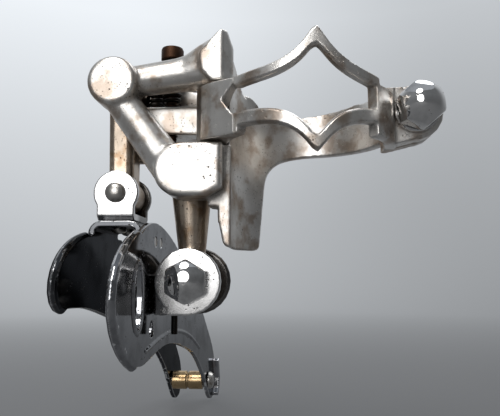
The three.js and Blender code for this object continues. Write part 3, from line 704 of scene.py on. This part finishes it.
def on_sheet(face):
    """Points near a plate's two faces go onto faces that bend gently where the cage leans."""

    def settle(co):
        past = co[:, 1] - BEND_Y
        sharp = LEAN * np.maximum(past, 0)
        gentle = LEAN * 0.5 * (past + np.hypot(past, BEND_REACH))
        for plane in (face, face - SHEET):
            away = co[:, 0] - (plane + sharp)
            weight = np.clip((NEAR_SHEET - np.abs(away)) / NEAR_SHEET_FADE, 0, 1)
            co[:, 0] += weight * (plane + gentle - co[:, 0])
        return co

    return settle


def make_cage():
    s = bpy.context.scene.derailleur_plates
    for node, face in FACES.items():
        recast(node, s.voxel, s.passes, PLATE_FINISH[node], on_sheet(face))
    for node in ("outer_clevis", "inner_bracket"):
        recast(node, s.fine, s.passes, finish="bright_chrome")


# ------------------------------------------------------------------ fasteners
THREAD_DEPTH = 0.14 * MM
RINGS_PER_PITCH = 8


def threaded(radius, start, end):
    """Rings of a screw thread, as (radius against angle, place) pairs."""
    pitch = bpy.context.scene.derailleur_fasteners.thread
    count = max(int((end - start) / pitch * RINGS_PER_PITCH), 4)

    def ring(place):
        turns = place / pitch
        return lambda angle: radius - THREAD_DEPTH * (0.5 + 0.5 * np.sin(angle - 2 * math.pi * turns))

    return [(ring(place), place) for place in np.linspace(start, end, count)]


DOME_POWER = 2.4
BOLT_FLATS = 8 * MM


def headed_bolt(node, height, drop, turn, shank):
    """A hexagon bolt whose head points to -Y. The dome of the head falls by drop towards its corners."""
    front, back = ends_of(node, "y")
    seat = front + height
    outline = hexagon(turn)
    flat = BOLT_FLATS / 2
    corner = flat * HEX_CORNER
    rings = [(TINY, front)]

    def edge(share):
        return lambda a: flat * outline(a) * share

    def dome(share, lift=0.0):
        return lambda a: front + drop * (flat * outline(a) * share / corner) ** DOME_POWER + lift

    rings += [(edge(t), dome(t)) for t in np.linspace(0.08, 0.97, 14)]
    rings += [(edge(0.992), dome(1, 0.02 * MM)), (edge(1), dome(1, 0.22 * MM))]
    rings += [(edge(1), seat - 0.15 * MM), (edge(0.97), seat)]
    rings += [(shank, seat), (shank, seat + 0.3 * MM)]
    rings += threaded(shank, seat + 0.5 * MM, back - 0.4 * MM)
    rings += [(shank * 0.8, back), (TINY, back)]
    return lathe_piece(node, "y", rings)


def hex_nut(node, bore):
    """A hexagon nut with both faces chamfered."""
    front, back = ends_of(node, "y")
    flat = size_of(node).x / 2
    outline = hexagon(0.0)
    chamfer = 0.45 * MM

    def hex_edge(a):
        return flat * outline(a)

    rings = [(bore, front), (flat * 0.9, front), (hex_edge, front + chamfer)]
    rings += [(hex_edge, back - chamfer), (flat * 0.9, back), (bore, back)]
    return lathe_piece(node, "y", rings, hollow=True)


def ring_piece(node, axis, bore):
    """A washer, bush or sleeve with broken edges."""
    low, high = ends_of(node, axis)
    radius = max(size_of(node)[i] for i in range(3) if i != "xyz".index(axis)) / 2
    c = min(bpy.context.scene.derailleur_fasteners.chamfer, (high - low) / 4)
    profile = [(bore, low), (radius - c, low), (radius, low + c)]
    profile += [(radius, high - c), (radius - c, high), (bore, high)]
    return lathe_piece(node, axis, profile, hollow=True)


def pin_piece(node, axis):
    """A plain pin with rounded ends."""
    low, high = ends_of(node, axis)
    radius = min(size_of(node)) / 2
    c = bpy.context.scene.derailleur_fasteners.chamfer * 1.6
    profile = [(TINY, low), (radius, low), (radius, high), (TINY, high)]
    return lathe_piece(node, axis, rounded(profile, c))


def dome(radius, low, rise, steps):
    """Profile of a round head that bulges towards the low end of its axis."""
    angles = np.linspace(0.02, math.pi / 2, steps)
    return [(radius * math.sin(a), low + rise * (1 - math.cos(a))) for a in angles]


def rivet_piece(node, axis):
    """A rivet with a domed head at its low end."""
    low, high = ends_of(node, axis)
    head, shank, rise = 1.7 * MM, 1.0 * MM, 0.9 * MM
    profile = dome(head, low, rise, 8) + [(shank, low + rise), (shank, high), (TINY, high)]
    return lathe_piece(node, axis, profile)


def cage_pin():
    """The riveted pin of the clevis: a domed head in front and a spread end behind."""
    low, high = ends_of("outer_cage_pin", "y")
    head, shank = 2.1 * MM, 1.6 * MM
    front_seat = low + 1.3 * MM
    rear_seat = high - 1.1 * MM
    profile = dome(head, low, 1.15 * MM, 9) + [(head, front_seat), (shank, front_seat)]
    profile += [(shank, rear_seat), (head, rear_seat)]
    profile += [(head * 0.85, high - 0.4 * MM), (head * 0.45, high), (TINY, high)]
    return lathe_piece("outer_cage_pin", "y", profile)


SLOT_WIDTH = 0.8 * MM
SLOT_LENGTH = 6 * MM


def slotted(piece, centre, size):
    """Cuts a screwdriver slot as a box of this size about the centre."""
    bpy.ops.mesh.primitive_cube_add(size=1, location=centre)
    tool = bpy.context.active_object
    tool.scale = size
    cutter = piece.modifiers.new("slot", "BOOLEAN")
    cutter.object = tool
    cutter.operation = "DIFFERENCE"
    cutter.solver = "EXACT"
    bake_modifiers(piece)
    bpy.data.objects.remove(tool)
    crisp(piece)


def limit_screw(node):
    """A cheese-head screw that points down, with its slot on top."""
    low, high = ends_of(node, "z")
    head, shank = 2.5 * MM, 1.25 * MM
    seat = high - 2.9 * MM
    rings = [(TINY, low), (shank * 0.6, low)]
    rings += threaded(shank, low + 0.3 * MM, seat) + [(head * 0.93, seat)]
    rings += [(head, seat + 0.2 * MM), (head, high - 0.5 * MM), (head * 0.94, high - 0.12 * MM)]
    rings += [(head * 0.8, high), (TINY, high)]
    piece = lathe_piece(node, "z", rings)
    centre = centre_of(node)
    centre.z = high
    slotted(piece, centre, (SLOT_LENGTH, SLOT_WIDTH, 2 * MM))


def tail_screw():
    """The screw through the spacer, with its slot on the side of the frame."""
    low, high = ends_of("tail_screw", "x")
    head, shank = 2.6 * MM, 1.4 * MM
    seat = high - 1.6 * MM
    rings = [(TINY, low), (shank * 0.8, low), *threaded(shank, low + 0.2 * MM, seat - 0.1 * MM)]
    rings += [(shank, seat), (head, seat)]
    rings += [(head, seat + 0.5 * MM), (head * 0.85, high - 0.3 * MM), (head * 0.5, high), (TINY, high)]
    piece = lathe_piece("tail_screw", "x", rings)
    centre = centre_of("tail_screw")
    centre.x = high
    slotted(piece, centre, (1.4 * MM, SLOT_WIDTH, SLOT_LENGTH))


def tail_spacer():
    """The grooved tube that holds the cage plates apart."""
    low, high = ends_of("tail_spacer", "x")
    radius = size_of("tail_spacer").y / 2
    bore, neck = 1.7 * MM, radius - 0.35 * MM
    groove = low + 4.4 * MM
    wall = 0.1 * MM
    end = groove + 0.8 * MM
    profile = [(bore, low), (radius, low), (radius, groove), (neck, groove + wall)]
    profile += [(neck, end - wall), (radius, end), (radius, high), (bore, high)]
    return lathe_piece("tail_spacer", "x", rounded(profile, 0.25 * MM), hollow=True)


def anchor_bolt():
    """The hexagon bolt of the cable arm, with its head at the back."""
    front, back = ends_of("cable_anchor_bolt", "y")
    outline = hexagon(0.0)
    flat, shank = 3.5 * MM, 2.0 * MM
    seat = back - 3.4 * MM

    def hex_edge(a):
        return flat * outline(a)

    rings = [(TINY, front), (shank * 0.85, front)]
    rings += threaded(shank, front + 0.3 * MM, seat - 0.1 * MM) + [(shank, seat)]
    rings += [(hex_edge, seat), (hex_edge, back - 0.5 * MM), (flat * 0.92, back), (TINY, back)]
    return lathe_piece("cable_anchor_bolt", "y", rings)


def make_bolts():
    headed_bolt("clamp_bolt", 7.0 * MM, 3.4 * MM, math.radians(4), 2.5 * MM)
    headed_bolt("inner_cage_bolt", 4.4 * MM, 1.7 * MM, math.radians(16.5), 2.2 * MM)
    hex_nut("inner_cage_nut", 2.3 * MM)
    ring_piece("clamp_washer", "y", 2.7 * MM)
    ring_piece("cable_washer", "y", 2.15 * MM)
    anchor_bolt()


def make_screws():
    limit_screw("high_limit_screw")
    limit_screw("low_limit_screw")
    tail_screw()


def make_pins():
    pin_piece("strap_hinge_pin", "z")
    pin_piece("outer_pivot_pin", "y")
    pin_piece("inner_pivot_pin", "y")
    cage_pin()
    ring_piece("inner_link_bush", "y", 2.15 * MM)
    ring_piece("inner_cage_sleeve", "y", 2.3 * MM)
    tail_spacer()
    for i in (1, 2):
        rivet_piece(f"bridge_rivet_{i}", "z")
        rivet_piece(f"tab_rivet_{i}", "x")
        rivet_piece(f"bracket_rivet_{i}", "x")


# ------------------------------------------------------------------ springs
def wire_piece(node, points, radius):
    """Round wire through a list of points."""
    curve = bpy.data.curves.new(node + "_wire", "CURVE")
    curve.dimensions = "3D"
    curve.bevel_depth = radius
    curve.bevel_resolution = 4
    curve.use_fill_caps = True
    line = curve.splines.new("POLY")
    line.points.add(len(points) - 1)
    line.points.foreach_set("co", np.c_[points, np.ones(len(points))].ravel())
    holder = bpy.data.objects.new(node + "_wire", curve)
    bpy.context.scene.collection.objects.link(holder)
    bpy.context.view_layer.update()
    mesh = bpy.data.meshes.new_from_object(holder)
    bpy.data.objects.remove(holder)
    shade_smooth(mesh)
    return adopt(new_piece(node + "_form", mesh), node)


def limit_spring(node):
    """A coil spring under the head of a limit screw."""
    wire = 0.38 * MM
    pitch = 1.25 * MM
    low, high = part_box(node)
    centre = (low + high) / 2
    reach = (high.x - low.x) / 2 - wire
    turns = round((high.z - low.z) / pitch)
    angle = np.linspace(0, 2 * math.pi * turns, turns * 28 + 1)
    height = np.linspace(low.z + wire, high.z - wire, len(angle))
    coil = np.c_[centre.x + reach * np.cos(angle), centre.y + reach * np.sin(angle), height]
    wire_piece(node, coil, wire)


def return_spring():
    """Two and a half turns round the sleeve, then a leg that hangs down."""
    node = "return_spring"
    wire = 0.72 * MM
    low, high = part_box(node)
    axis = centre_of("inner_cage_sleeve")
    reach = (high.x - low.x) / 2 - wire
    angle = np.linspace(0, 5 * math.pi, 141)
    coil_length = 4.0 * MM
    y = np.linspace(high.y - wire, high.y - wire - coil_length, len(angle))
    coil = np.c_[axis.x + reach * np.cos(angle), y, axis.z + reach * np.sin(angle)]
    end = coil[-1]
    drop = np.linspace(0.4 * MM, end[2] - low.z, 14)
    leg = np.tile(end, (len(drop), 1))
    leg[:, 2] -= drop
    wire_piece(node, np.concatenate([coil, leg]), wire)


def make_springs():
    limit_spring("high_limit_spring")
    limit_spring("low_limit_spring")
    return_spring()


# ------------------------------------------------------------------ stage
PAPER = (0.05, 0.05, 0.052)
LIGHTS_AIM = Vector((-0.015, 0.0, -0.02))


def stage_material():
    """Glowing paper: bright high up at the back, dimmer on the floor, in front and on the right."""
    s = bpy.context.scene.derailleur_stage
    made, tree = new_material("studio_floor")
    where = shader(tree, "ShaderNodeTexCoord").outputs["Object"]
    place = shader(tree, "ShaderNodeSeparateXYZ", {"Vector": where}).outputs
    span = {"Value": place["Z"], "From Min": CAD_BOX[0][2], "From Max": s.bowl * 0.5}
    rise = shader(tree, "ShaderNodeMapRange", span)
    curve = math_of(tree, "POWER", rise.outputs["Result"], 1.4)
    tone = blend_of(tree, curve, tuple(s.floor), tuple(s.wall))
    back = ramp(tree, place["Y"], -0.06 * s.bowl, 0.85 * s.bowl, s.front_share, 1.0)
    side = ramp(tree, place["X"], -0.36 * s.bowl, 0.36 * s.bowl, 1.0, s.right_share)
    strength = math_of(tree, "MULTIPLY", math_of(tree, "MULTIPLY", back, side), s.glow)
    paper = {"Base Color": (*PAPER, 1.0), "Roughness": 0.9}
    lit = {"Emission Color": tone, "Emission Strength": strength}
    surface = shader(tree, "ShaderNodeBsdfPrincipled", {**paper, **lit})
    shader(tree, "ShaderNodeOutputMaterial", {"Surface": surface.outputs[0]})
    return made


def make_bowl():
    """A floor under the derailleur that curves up into a round wall."""
    s = bpy.context.scene.derailleur_stage
    ground = CAD_BOX[0][2] - 1 * MM
    bend = 0.45 * s.bowl
    profile = [(1e-4, ground), (s.bowl - bend, ground)]
    for a in np.linspace(0, math.pi / 2, 16)[1:]:
        profile.append((s.bowl - bend + bend * math.sin(a), ground + bend * (1 - math.cos(a))))
    profile.append((s.bowl, ground + 1.3 * s.bowl))
    first, second, along = np.eye(3)
    angle = np.linspace(0, 2 * math.pi, 96, endpoint=False)
    around = first * np.cos(angle)[:, None] + second * np.sin(angle)[:, None]
    rings = [along * z + around * r for r, z in profile]
    bowl = new_piece("studio_floor", rings_to_mesh("studio_floor", rings, caps=False))
    shade_smooth(bowl.data)
    bowl.data.materials.append(stage_material())


def add_light(name, place, size, power, colour=(1, 1, 1)):
    data = bpy.data.lights.new(name, "AREA")
    data.shape = "DISK"
    data.size = size
    data.energy = power
    data.color = colour
    lamp = bpy.data.objects.new(name, data)
    bpy.context.scene.collection.objects.link(lamp)
    lamp.location = place
    lamp.rotation_euler = (LIGHTS_AIM - Vector(place)).to_track_quat("-Z", "Y").to_euler()


def make_lights():
    add_light("key", (-0.14, -0.36, 0.52), 0.30, 2.0, (1.0, 0.985, 0.96))
    add_light("front", (-0.15, -0.60, 0.14), 0.40, 1.3)
    add_light("back_top", (0.20, 0.30, 0.62), 0.40, 1.2, (0.95, 0.97, 1.0))
    world = bpy.context.scene.world or bpy.data.worlds.new("studio")
    bpy.context.scene.world = world
    world.use_nodes = True
    sky = world.node_tree.nodes["Background"]
    sky.inputs["Color"].default_value = (0.86, 0.92, 1.0, 1.0)
    sky.inputs["Strength"].default_value = 0.4
    bpy.context.scene.view_settings.view_transform = "Standard"


def make_camera():
    s = bpy.context.scene.derailleur_stage
    data = bpy.data.cameras.new("view")
    data.lens = s.lens
    data.sensor_width = 36
    data.clip_start = 0.005
    camera = bpy.data.objects.new("view", data)
    bpy.context.scene.collection.objects.link(camera)
    a, e = s.azimuth, s.rise
    forward = Vector((-math.sin(a) * math.cos(e), math.cos(a) * math.cos(e), math.sin(e)))
    right = Vector((math.cos(a), math.sin(a), 0))
    up = right.cross(forward)
    turn = Matrix((right, up, -forward)).transposed()
    camera.matrix_world = Matrix.Translation(Vector(s.place)) @ turn.to_4x4()
    bpy.context.scene.camera = camera


# ------------------------------------------------------------------ operators and panel
class DERAILLEUR_OT_castings(bpy.types.Operator):
    """Body casting and clamp strap"""

    bl_idname = "derailleur.castings"
    bl_label = "Body and strap"

    def execute(self, context):
        make_castings()
        return {"FINISHED"}


class DERAILLEUR_OT_links(bpy.types.Operator):
    """Parallelogram links and the cable arm"""

    bl_idname = "derailleur.links"
    bl_label = "Links and cable arm"

    def execute(self, context):
        make_links()
        return {"FINISHED"}


class DERAILLEUR_OT_cage(bpy.types.Operator):
    """Plated cage plates, clevis and bracket"""

    bl_idname = "derailleur.cage"
    bl_label = "Chain cage"

    def execute(self, context):
        make_cage()
        return {"FINISHED"}


class DERAILLEUR_OT_bolts(bpy.types.Operator):
    """Hexagon bolts, nut and washers"""

    bl_idname = "derailleur.bolts"
    bl_label = "Bolts and washers"

    def execute(self, context):
        make_bolts()
        return {"FINISHED"}


class DERAILLEUR_OT_screws(bpy.types.Operator):
    """Limit screws and the tail screw"""

    bl_idname = "derailleur.screws"
    bl_label = "Slotted screws"

    def execute(self, context):
        make_screws()
        return {"FINISHED"}


class DERAILLEUR_OT_pins(bpy.types.Operator):
    """Pins, rivets, bush, sleeve and spacer"""

    bl_idname = "derailleur.pins"
    bl_label = "Pins and rivets"

    def execute(self, context):
        make_pins()
        return {"FINISHED"}


class DERAILLEUR_OT_springs(bpy.types.Operator):
    """Limit screw springs and the return spring"""

    bl_idname = "derailleur.springs"
    bl_label = "Springs"

    def execute(self, context):
        make_springs()
        return {"FINISHED"}


class DERAILLEUR_OT_stage(bpy.types.Operator):
    """Floor, lights and camera"""

    bl_idname = "derailleur.stage"
    bl_label = "Studio"

    def execute(self, context):
        make_bowl()
        make_lights()
        make_camera()
        return {"FINISHED"}


OPERATORS = (
    DERAILLEUR_OT_castings,
    DERAILLEUR_OT_links,
    DERAILLEUR_OT_cage,
    DERAILLEUR_OT_bolts,
    DERAILLEUR_OT_screws,
    DERAILLEUR_OT_pins,
    DERAILLEUR_OT_springs,
    DERAILLEUR_OT_stage,
)


class DERAILLEUR_PT_finish(bpy.types.Panel):
    """Buttons and settings of the derailleur's finish"""

    bl_label = "Derailleur"
    bl_space_type = "VIEW_3D"
    bl_region_type = "UI"
    bl_category = "Derailleur"

    def draw(self, context):
        for made in OPERATORS:
            self.layout.operator(made.bl_idname)
        for group in GROUPS:
            box = self.layout.box()
            settings = getattr(context.scene, group)
            for key in settings.bl_rna.properties.keys():
                if key not in ("rna_type", "name"):
                    box.prop(settings, key)


CLASSES = (*GROUPS.values(), *OPERATORS, DERAILLEUR_PT_finish)


def register():
    for made in CLASSES:
        bpy.utils.register_class(made)
    for key, group in GROUPS.items():
        setattr(bpy.types.Scene, key, PointerProperty(type=group))


def unregister():
    for key in GROUPS:
        delattr(bpy.types.Scene, key)
    for made in reversed(CLASSES):
        bpy.utils.unregister_class(made)


def main():
    register()
    bpy.ops.derailleur.castings()
    bpy.ops.derailleur.links()
    bpy.ops.derailleur.cage()
    bpy.ops.derailleur.bolts()
    bpy.ops.derailleur.screws()
    bpy.ops.derailleur.pins()
    bpy.ops.derailleur.springs()
    bpy.ops.derailleur.stage()


if __name__ == "__main__":
    main()
